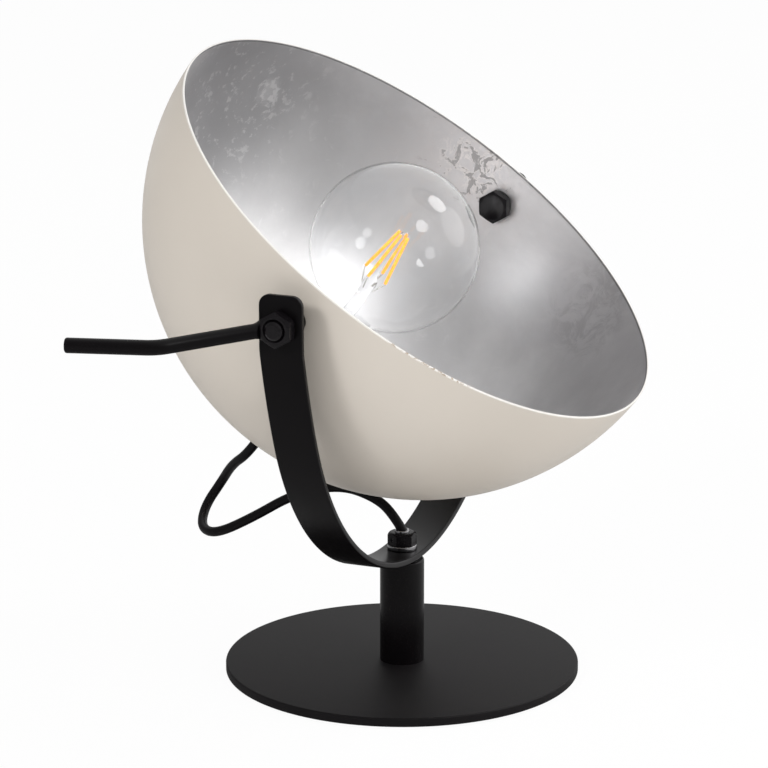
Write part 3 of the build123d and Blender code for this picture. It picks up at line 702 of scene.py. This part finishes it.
gripParts = {"gland_body": (gripBody(), "black_nylon", 25), "gland_collar": (gripCollar(), "zinc_steel", 35),
             "gland_clamp_screw": (gripScrew(), "dark_steel", 30)}
pole = {"nutLow": -0.1584, "nutHeight": 0.004, "nutBore": 0.00505}
poleFlip = (lampFrame @ Matrix.Translation((0, 0, pole["nutLow"] + grip["low"]))
            @ Matrix.Rotation(math.radians(180), 4, "X"))
for node, (piece, slot, angle) in gripParts.items():
    twinNode = "pole_" + node.replace("gland_clamp", "clamp")
    twin = copyPiece(piece, piece.name + "_rear", poleFlip)
    finishPiece(twin, "shade", [twinNode], slot, angle)
    finishPiece(piece, "yoke", [node], slot, angle)


# bright washers above and below the yoke's middle
washers = {"gripOuter": 0.0084, "gripLow": 0.0711, "gripHigh": 0.0741, "thrustOuter": 0.0105,
           "thrustLow": 0.0661, "thrustHigh": 0.0676, "bore": 0.00502, "edge": 0.0004}


def washer(name, outer, low, high):
    bore, edge = washers["bore"], washers["edge"]
    return turned(name, [
        (bore, low + edge), (bore + edge, low), *arc((outer - edge, low + edge), edge, -90, 0, 4),
        *arc((outer - edge, high - edge), edge, 0, 90, 4), (bore + edge, high), (bore, high - edge),
    ], steps=128)


gripWasher = washer("grip_washer", washers["gripOuter"], washers["gripLow"], washers["gripHigh"])
finishPiece(gripWasher, "yoke", ["gland_washer"], "zinc_steel")
thrustRing = washer("thrust_ring", washers["thrustOuter"], washers["thrustLow"], washers["thrustHigh"])
finishPiece(thrustRing, "yoke", ["thrust_washer"], "zinc_steel")
print("cord grips and washers made")


# pivots: bolts with a hexagonal head inside the dome, nuts and washers outside
pivot = {"flats": 0.017, "headFace": 0.14182, "headSeat": 0.14822, "bolt": 0.005, "endChamfer": 0.0013,
         "nearEnd": 0.1793274, "farEnd": 0.1791274, "nutSeat": 0.1691274, "nutFace": 0.1771274, "lockFlats": 0.014,
         "lockLow": 0.1529274, "lockHigh": 0.1609274, "leverSink": 0.0012,
         "slack": 0.00005}
nutBore = pivot["bolt"] + pivot["slack"]


def pivotBolt(name, end, side):
    piece = hexBlank(name, pivot["flats"], pivot["headFace"], pivot["headSeat"], highChamfer=False)
    shank = turned("bolt_shank", [
        (0, pivot["headSeat"] - 0.002), (pivot["bolt"], pivot["headSeat"] - 0.002),
        (pivot["bolt"], end - pivot["endChamfer"] - 0.0001), (pivot["bolt"] - 0.0001, end - pivot["endChamfer"]),
        (pivot["bolt"] - pivot["endChamfer"], end - 0.0001), (pivot["bolt"] - pivot["endChamfer"] - 0.0002, end),
        (0, end),
    ], steps=64, closed=False)
    cutWith(piece, shank, "UNION")
    return settle(piece, side)


finishPiece(pivotBolt("near_bolt", pivot["nearEnd"], nearSide), "shade", ["near_pivot_bolt"], "dark_steel", 25)
finishPiece(pivotBolt("far_bolt", pivot["farEnd"], farSide), "shade", ["far_pivot_bolt"], "dark_steel", 25)
lockNut = hexNut("lock_nut_near", pivot["lockFlats"], nutBore, pivot["lockLow"], pivot["lockHigh"])
lockTwin = copyPiece(lockNut, "lock_nut_far", farSide)
settle(lockNut, nearSide)
for piece in (lockNut, lockTwin):
    finishPiece(piece, "shade", ["lock_nuts"], "dark_steel", 25)
farNut = settle(hexNut("far_outer_nut", pivot["flats"], nutBore, pivot["nutSeat"], pivot["nutFace"]), farSide)
finishPiece(farNut, "shade", ["far_nut"], "dark_steel", 25)
leverNut = settle(hexNut("lever_clamp_nut", pivot["flats"], nutBore, pivot["nutSeat"], pivot["nutFace"],
                         sink=pivot["leverSink"]), nearSide)
finishPiece(leverNut, "lever", ["lever_nut"], "dark_steel", 25)
poleNut = settle(hexNut("pole_lock_nut", pivot["lockFlats"], pole["nutBore"], pole["nutLow"],
                        pole["nutLow"] + pole["nutHeight"]), lampFrame)
finishPiece(poleNut, "shade", ["pole_nut"], "zinc_steel", 25)
print("pivot hardware made")


# clamp lever: a round bar with one bend, welded to the nut
# first and second: degrees outward, degrees down and length of the two straight parts
lever = {"root": (-0.17313, 0.0085, 0.237835), "radius": 0.004, "first": (45.0, 3.8, 0.057),
         "second": (15.0, 0, 0.0474), "bend": 0.022, "tipEdge": 0.0012, "stub": 0.004, "seatClear": 0.020,
         "weld": [(0, -0.0042), (0.0052, -0.0042), (0.0052, 0.0006), (0.0048, 0.0013), (0.0043, 0.0024),
                  (0.00401, 0.0040), (0.0039, 0.0044), (0, 0.0044)]}


def leverWay(outward, drop):
    out, down = math.radians(outward), math.radians(drop)
    return Vector((-math.sin(out) * math.cos(down), math.cos(out) * math.cos(down), -math.sin(down)))


def leverBar():
    first, second = leverWay(*lever["first"][:2]), leverWay(*lever["second"][:2])
    turn = first.angle(second)
    tangent = lever["bend"] * math.tan(turn / 2)
    root = Vector(lever["root"])
    start = Matrix.Translation(root) @ Vector((0, 0, 1)).rotation_difference(first).to_matrix().to_4x4()
    wipeSelection()
    bpy.ops.mesh.primitive_circle_add(vertices=48, radius=lever["radius"], fill_type="NGON",
                                      location=(0, 0, -lever["stub"]))
    piece = settle(namePiece("lever_bar"), start)
    editPiece(piece)
    bpy.ops.mesh.select_mode(type="FACE")
    bpy.ops.mesh.select_all(action="SELECT")
    straight = first * (lever["stub"] + lever["first"][2] - tangent)
    bpy.ops.mesh.extrude_region_move(TRANSFORM_OT_translate={"value": straight})
    elbow = root + first * (lever["first"][2] - tangent)
    centre = elbow + (second - first * first.dot(second)).normalized() * lever["bend"]
    bpy.ops.mesh.spin(steps=12, angle=turn, center=centre, axis=-first.cross(second).normalized())
    bpy.ops.mesh.extrude_region_move(TRANSFORM_OT_translate={"value": second * (lever["second"][2] - tangent)})
    bpy.ops.mesh.bevel(offset=lever["tipEdge"], segments=4, affect="EDGES")
    tidyMesh()
    leaveEdit()
    weld = turned("weld_flare", lever["weld"], steps=48, closed=False, placed=start)
    cutWith(piece, weld, "UNION")
    cutWith(piece, settle(hexPrism(pivot["flats"], 0, 0.3, softness=0.00001), nearSide))
    cutWith(piece, bar(lever["seatClear"], 0, pivot["nutSeat"], placed=nearSide))
    return piece


finishPiece(leverBar(), "lever", ["lever_rod"], "black_paint", 40)
print("lever made")


# dome: a spun shell with a bare rim
dome = {"segments": 224, "rings": 112, "hole": 0.0053, "rimEdge": 0.0004}


def domeShell():
    wipeSelection()
    bpy.ops.mesh.primitive_uv_sphere_add(segments=dome["segments"], ring_count=dome["rings"],
                                         radius=lampSizes["domeRadius"])
    piece = namePiece("dome_shell")
    editPiece(piece)
    bpy.ops.mesh.select_all(action="SELECT")
    bpy.ops.mesh.bisect(plane_co=(0, 0, -lampSizes["rimBelowCentre"]), plane_no=(0, 0, 1), clear_outer=True)
    tidyMesh()
    leaveEdit()
    applyModifier(piece, "SOLIDIFY", thickness=lampSizes["domeWall"], offset=-1, use_even_offset=True)
    editPiece(piece)
    rimTop = -lampSizes["rimBelowCentre"] - 0.00005
    pick(piece, "EDGE", lambda edge: all(vertex.co.z > rimTop for vertex in edge.verts)
         and abs(edge.verts[0].co.xy.length - edge.verts[1].co.xy.length) < 0.0001)
    bpy.ops.mesh.bevel(offset=dome["rimEdge"], segments=3, affect="EDGES")
    leaveEdit()
    settle(piece, domeFrame)
    for side in (nearSide, farSide):
        cutWith(piece, bar(dome["hole"], 0.130, 0.165, placed=side))
    cutWith(piece, bar(dome["hole"], -0.165, -0.145, placed=lampFrame))
    return piece


finishPiece(domeShell(), "shade", ["shade_shell"], "cream_aluminium", angle=50)
print("dome spun")


# bulb: clear globe with glass mount, wires and four amber rods
bulb = {"globe": 0.0475, "middle": -0.0230268, "wall": 0.001, "neck": 0.0124, "capTop": -0.0871268,
        "foot": -0.1087268, "straight": 0.0009, "mount": 0.004, "rodLow": -0.0206, "rodHigh": 0.0106,
        "lowRing": 0.008, "highRing": 0.003, "turn": -10, "rods": 4, "rod": 0.0009, "wire": 0.00035}


def glassOutline(wall):
    # from the crown down to the foot: globe, neck blend and straight neck, moved inwards by the wall
    drop = bulb["middle"] - bulb["capTop"] - bulb["straight"]
    blend = (drop ** 2 - bulb["globe"] ** 2 + bulb["neck"] ** 2) / (2 * (bulb["globe"] - bulb["neck"])) + wall
    globe, neck = bulb["globe"] - wall, bulb["neck"] - wall
    join = math.degrees(math.atan2(-drop, neck + blend))
    return [
        *arc((0, bulb["middle"]), globe, 90, join, 56),
        *arc((neck + blend, bulb["middle"] - drop), blend, 180 + join, 180, 16)[1:],
        (neck, bulb["foot"]),
    ]


outer, inner = glassOutline(0), glassOutline(bulb["wall"])
outer[0], inner[0] = (0, outer[0][1]), (0, inner[0][1])
globe = turned("bulb_globe", outer + inner[::-1], steps=128, closed=False, placed=lampFrame)
finishPiece(globe, "shade", ["bulb_glass"], "clear_glass", 60)

rodHigh, rodLow = bulb["middle"] + bulb["rodHigh"], bulb["middle"] + bulb["rodLow"]
mount = turned("glass_mount", [
    (0, bulb["foot"]), (bulb["neck"] - bulb["wall"] - 0.0002, bulb["foot"]), (0.0086, bulb["foot"] + 0.0035),
    (0.0058, bulb["foot"] + 0.0075), (bulb["mount"], bulb["foot"] + 0.012), (0.0037, rodLow - 0.020),
    (0.0032, rodLow - 0.009), (0.0040, rodLow - 0.0055), (0.0036, rodLow - 0.0030), (0.0021, rodLow - 0.0008),
    (0.0013, rodLow + 0.002), (0.0012, rodHigh - 0.004), (0.0017, rodHigh - 0.002), (0.0016, rodHigh - 0.0006),
    (0.0008, rodHigh), (0, rodHigh),
], steps=48, closed=False, placed=lampFrame)
finishPiece(mount, "shade", ["bulb_mount"], "clear_glass", 60)


def along(start, end):
    # frame whose Z runs from start to end
    way = end - start
    return Matrix.Translation(start) @ Vector((0, 0, 1)).rotation_difference(way).to_matrix().to_4x4()


def onRing(radius, turn, height):
    return Vector((radius * math.cos(turn), radius * math.sin(turn), height))


firstTurn = math.radians(bulb["turn"])
low, high = onRing(bulb["lowRing"], firstTurn, rodLow), onRing(bulb["highRing"], firstTurn, rodHigh)
length = (high - low).length
cap = bulb["rod"]
amber = turned("amber_rod_1", [
    (0, 0.0003), *arc((0, 0.0003 + cap), cap, -75, 0, 4), *arc((0, length - 0.0004 - cap), cap, 0, 75, 4),
    (0, length - 0.0004),
], steps=24, closed=False, placed=along(low, high))
shoulder = onRing(0.0044, firstTurn, rodLow - 0.008)
wire = bar(bulb["wire"], 0, (low - shoulder).length, sides=12, placed=along(shoulder, low))
wire.name = "lead_wire_1"
tip = turned("wire_tip", [
    (0, -0.0003), (0.0005, -0.0003), (0.00062, 0.0004), (0.00055, 0.0016), (0.0003, 0.0021), (0, 0.0021),
], steps=16, closed=False, placed=along(low, high))
topTip = turned("wire_top", [
    (0, length - 0.0021), (0.0003, length - 0.0021), (0.00055, length - 0.0016), (0.00062, length - 0.0003),
    (0.0004, length), (0, length),
], steps=16, closed=False, placed=along(low, high))
makeActive(wire)
tip.select_set(True)
topTip.select_set(True)
bpy.ops.object.join()
for index in range(bulb["rods"]):
    quarter = lampFrame @ Matrix.Rotation(2 * math.pi * index / bulb["rods"], 4, "Z")
    finishPiece(copyPiece(amber, "amber_filament_" + str(index + 1), quarter),
                "shade", ["bulb_filaments"], "filament", 60)
    finishPiece(copyPiece(wire, "lead_wire_" + str(index + 1) + "_made", quarter),
                "shade", ["bulb_wires"], "nickel", 60)
for spare in (amber, wire):
    bpy.data.objects.remove(spare)
print("bulb blown")


# lampholder: cap, ribbed barrel and a shade ring with grip notches
holder = {"radius": 0.0205, "wall": 0.0018, "low": -0.1504268, "neck": 0.009, "capTop": -0.1304268,
          "mouth": -0.0904268, "floor": 0.003, "pipeHole": 0.00505, "ring": 0.026, "ringLow": -0.1144268,
          "ringHigh": -0.1064268, "edge": 0.0006}


def holderCap():
    shoulder = 0.0035
    outerSide = [
        (holder["pipeHole"], holder["low"]), (holder["neck"] - 0.0006, holder["low"]),
        (holder["neck"] + 0.0004, holder["low"] + 0.0008), (holder["neck"] + 0.0012, holder["low"] + 0.0024),
        (holder["radius"] - 0.0022, holder["low"] + holder["neck"] - 0.0022),
        (holder["radius"] - 0.0005, holder["low"] + holder["neck"] - 0.0001),
        (holder["radius"], holder["low"] + holder["neck"] + shoulder * 0.4),
        (holder["radius"], holder["capTop"] - 0.0004), (holder["radius"] - 0.0004, holder["capTop"]),
    ]
    innerSide = [
        (holder["radius"] - holder["wall"], holder["capTop"]),
        (holder["radius"] - holder["wall"], holder["low"] + holder["floor"] + holder["neck"] - 0.001),
        (holder["neck"], holder["low"] + holder["floor"]), (holder["pipeHole"], holder["low"] + holder["floor"]),
    ]
    return turned("holder_cap_made", outerSide + innerSide, steps=96, placed=lampFrame)


def holderBarrel():
    # three shallow grooves near the cap and a rolled mouth
    outside = [(holder["radius"] - 0.0004, holder["capTop"]), (holder["radius"], holder["capTop"] + 0.0004)]
    for groove in (0.0035, 0.0065, 0.0095):
        height = holder["capTop"] + groove
        outside += [(holder["radius"], height - 0.0007), (holder["radius"] - 0.0005, height - 0.0003),
                    (holder["radius"] - 0.0005, height + 0.0003), (holder["radius"], height + 0.0007)]
    edge = holder["edge"]
    outside += arc((holder["radius"] - edge, holder["mouth"] - edge), edge, 0, 90, 4)
    inside = [(holder["radius"] - holder["wall"] + 0.0004, holder["mouth"]),
              (holder["radius"] - holder["wall"], holder["mouth"] - 0.0006),
              (holder["radius"] - holder["wall"], holder["capTop"])]
    return turned("holder_barrel_made", outside + inside, steps=96, placed=lampFrame)


def holderRing():
    wipeSelection()
    bpy.ops.mesh.primitive_cylinder_add(vertices=96, radius=holder["ring"],
                                        depth=holder["ringHigh"] - holder["ringLow"],
                                        location=(0, 0, (holder["ringLow"] + holder["ringHigh"]) / 2))
    piece = namePiece("holder_ring_made")
    editPiece(piece)
    pick(piece, "FACE", lambda face: abs(face.normal.z) < 0.1
         and round(math.degrees(math.atan2(face.normal.y, face.normal.x)) / 3.75 - 0.5) % 4 < 2)
    bpy.ops.mesh.inset(thickness=0.0006, depth=-0.0007, use_individual=False)
    leaveEdit()
    roundEdges(piece, 0.0002, segments=1, angle=40)
    cutWith(piece, bar(holder["radius"] + 0.00002, holder["ringLow"] - 0.001, holder["ringHigh"] + 0.001, sides=96))
    return settle(piece, lampFrame)


finishPiece(holderCap(), "shade", ["holder_cap"], "black_nylon", 30)
finishPiece(holderBarrel(), "shade", ["holder_barrel"], "black_nylon", 30)
finishPiece(holderRing(), "shade", ["holder_ring"], "black_nylon", 30)
print("lampholder made")


# floor, backdrop and light
studio = {"shown": 0.95, "mirrored": 0.8, "floorWay": (0.87, -0.5, 0), "floorFrom": -0.4, "floorTo": 0.9,
          "floorDark": 0.20, "floorBright": 0.78, "skyLevel": 0.53, "skyWay": (0.70, -0.50, 0.50),
          "skyFrom": -0.1, "skyTo": 0.9, "skyDark": 0.23, "skyBright": 0.95}


def studioFloor():
    # white to the eye, a soft grey slope in reflections, with a trace of the object's shadow
    wipeSelection()
    bpy.ops.mesh.primitive_plane_add(size=60, location=(0, 0, 0))
    floor = namePiece("studio_floor")
    paint = Paint("pale floor", Roughness=1.0, Specular_IOR_Level=0.0)
    tone = paint.noise(0.5, detail=1)
    paint.set("Base Color", paint.mix(tone, (0.95, 0.95, 0.95), (0.97, 0.97, 0.97)))
    rays = paint.node("ShaderNodeLightPath", out="Is Camera Ray")
    other = paint.node("ShaderNodeLightPath", out="Is Transmission Ray")
    mirrored = paint.node("ShaderNodeLightPath", out="Is Glossy Ray")
    white = paint.node("ShaderNodeEmission", {}, {"Color": (1, 1, 1), "Strength": 1.0})
    slope = paint.dot(paint.place, studio["floorWay"]).ramp(studio["floorFrom"], studio["floorTo"])
    grey = paint.mix(slope, [studio["floorDark"]] * 3, [studio["floorBright"]] * 3)
    seen = paint.node("ShaderNodeEmission", {}, {"Color": grey, "Strength": 1.0})
    dimmed = paint.between(mirrored * studio["mirrored"], Wire(paint, paint.shader.outputs[0]), seen)
    mixed = paint.between((rays + other) * studio["shown"], dimmed, white)
    paint.join(paint.tree.nodes["Material Output"].inputs["Surface"], mixed)
    floor.data.materials.append(paint.material)
    return floor


def studioWorld():
    # white where it is seen, an even soft dome of light, and for reflections a darker side on the left
    world = bpy.data.worlds.new("studio")
    bpy.context.scene.world = world
    world.use_nodes = True
    paint = Tree(world.node_tree)
    paint.tree.nodes.clear()
    bright = paint.dot(paint.node("ShaderNodeTexCoord", out="Generated"), studio["skyWay"])
    glow = paint.node("ShaderNodeMapRange", {"interpolation_type": "SMOOTHSTEP"}, {
        "Value": bright, "From Min": studio["skyFrom"], "From Max": studio["skyTo"],
        "To Min": studio["skyDark"], "To Max": studio["skyBright"]})
    shade = paint.node("ShaderNodeMix", {"data_type": "RGBA"}, {0: glow, 6: (0, 0, 0), 7: (1, 1, 1)}, out=2)
    cameraRay = paint.node("ShaderNodeLightPath", out="Is Camera Ray")
    through = paint.node("ShaderNodeLightPath", out="Is Transmission Ray")
    mirrored = paint.node("ShaderNodeLightPath", out="Is Glossy Ray")
    lit = paint.node("ShaderNodeBackground", {}, {"Color": (1, 1, 1), "Strength": studio["skyLevel"]})
    reflected = paint.node("ShaderNodeBackground", {}, {"Color": shade, "Strength": 1.0})
    white = paint.node("ShaderNodeBackground", {}, {"Color": (1, 1, 1), "Strength": 1.0})
    sky = paint.between(cameraRay + through, paint.between(mirrored, lit, reflected), white)
    paint.join(paint.tree.nodes.new("ShaderNodeOutputWorld").inputs["Surface"], sky)


def softLamp(name, place, aim, width, power, mirrored=True):
    wipeSelection()
    bpy.ops.object.light_add(type="AREA", location=place)
    lamp = bpy.context.active_object
    lamp.name = name
    lamp.data.shape = "DISK"
    lamp.data.size = width
    lamp.data.energy = power
    lamp.visible_glossy = mirrored
    lamp.rotation_euler = (Vector(place) - Vector(aim)).to_track_quat("Z", "Y").to_euler()
    return lamp


lamps = {
    "key lamp": {"place": (-1.9, 0.72, 1.35), "aim": (0, 0, 0.2), "width": 0.5, "power": 18.5, "mirrored": False},
    "front lamp": {"place": (-0.75, -1.85, 1.72), "aim": (0, 0, 0.2), "width": 0.7, "power": 8},
    "side lamp": {"place": (1.3, -2.2, 1.1), "aim": (0, 0, 0.2), "width": 1.9, "power": 12},
    "window lamp": {"place": (1.05, -1.5, 2.05), "aim": (0, 0, 0.2), "width": 0.9, "power": 15},
    "low lamp": {"place": (-0.75, -2.1, 0.33), "aim": (0, 0, 0.25), "width": 0.6, "power": 6, "mirrored": False},
}
studioFloor()
studioWorld()
for lampName, settings in lamps.items():
    softLamp(lampName, **settings)

bpy.context.scene.view_settings.view_transform = "Standard"
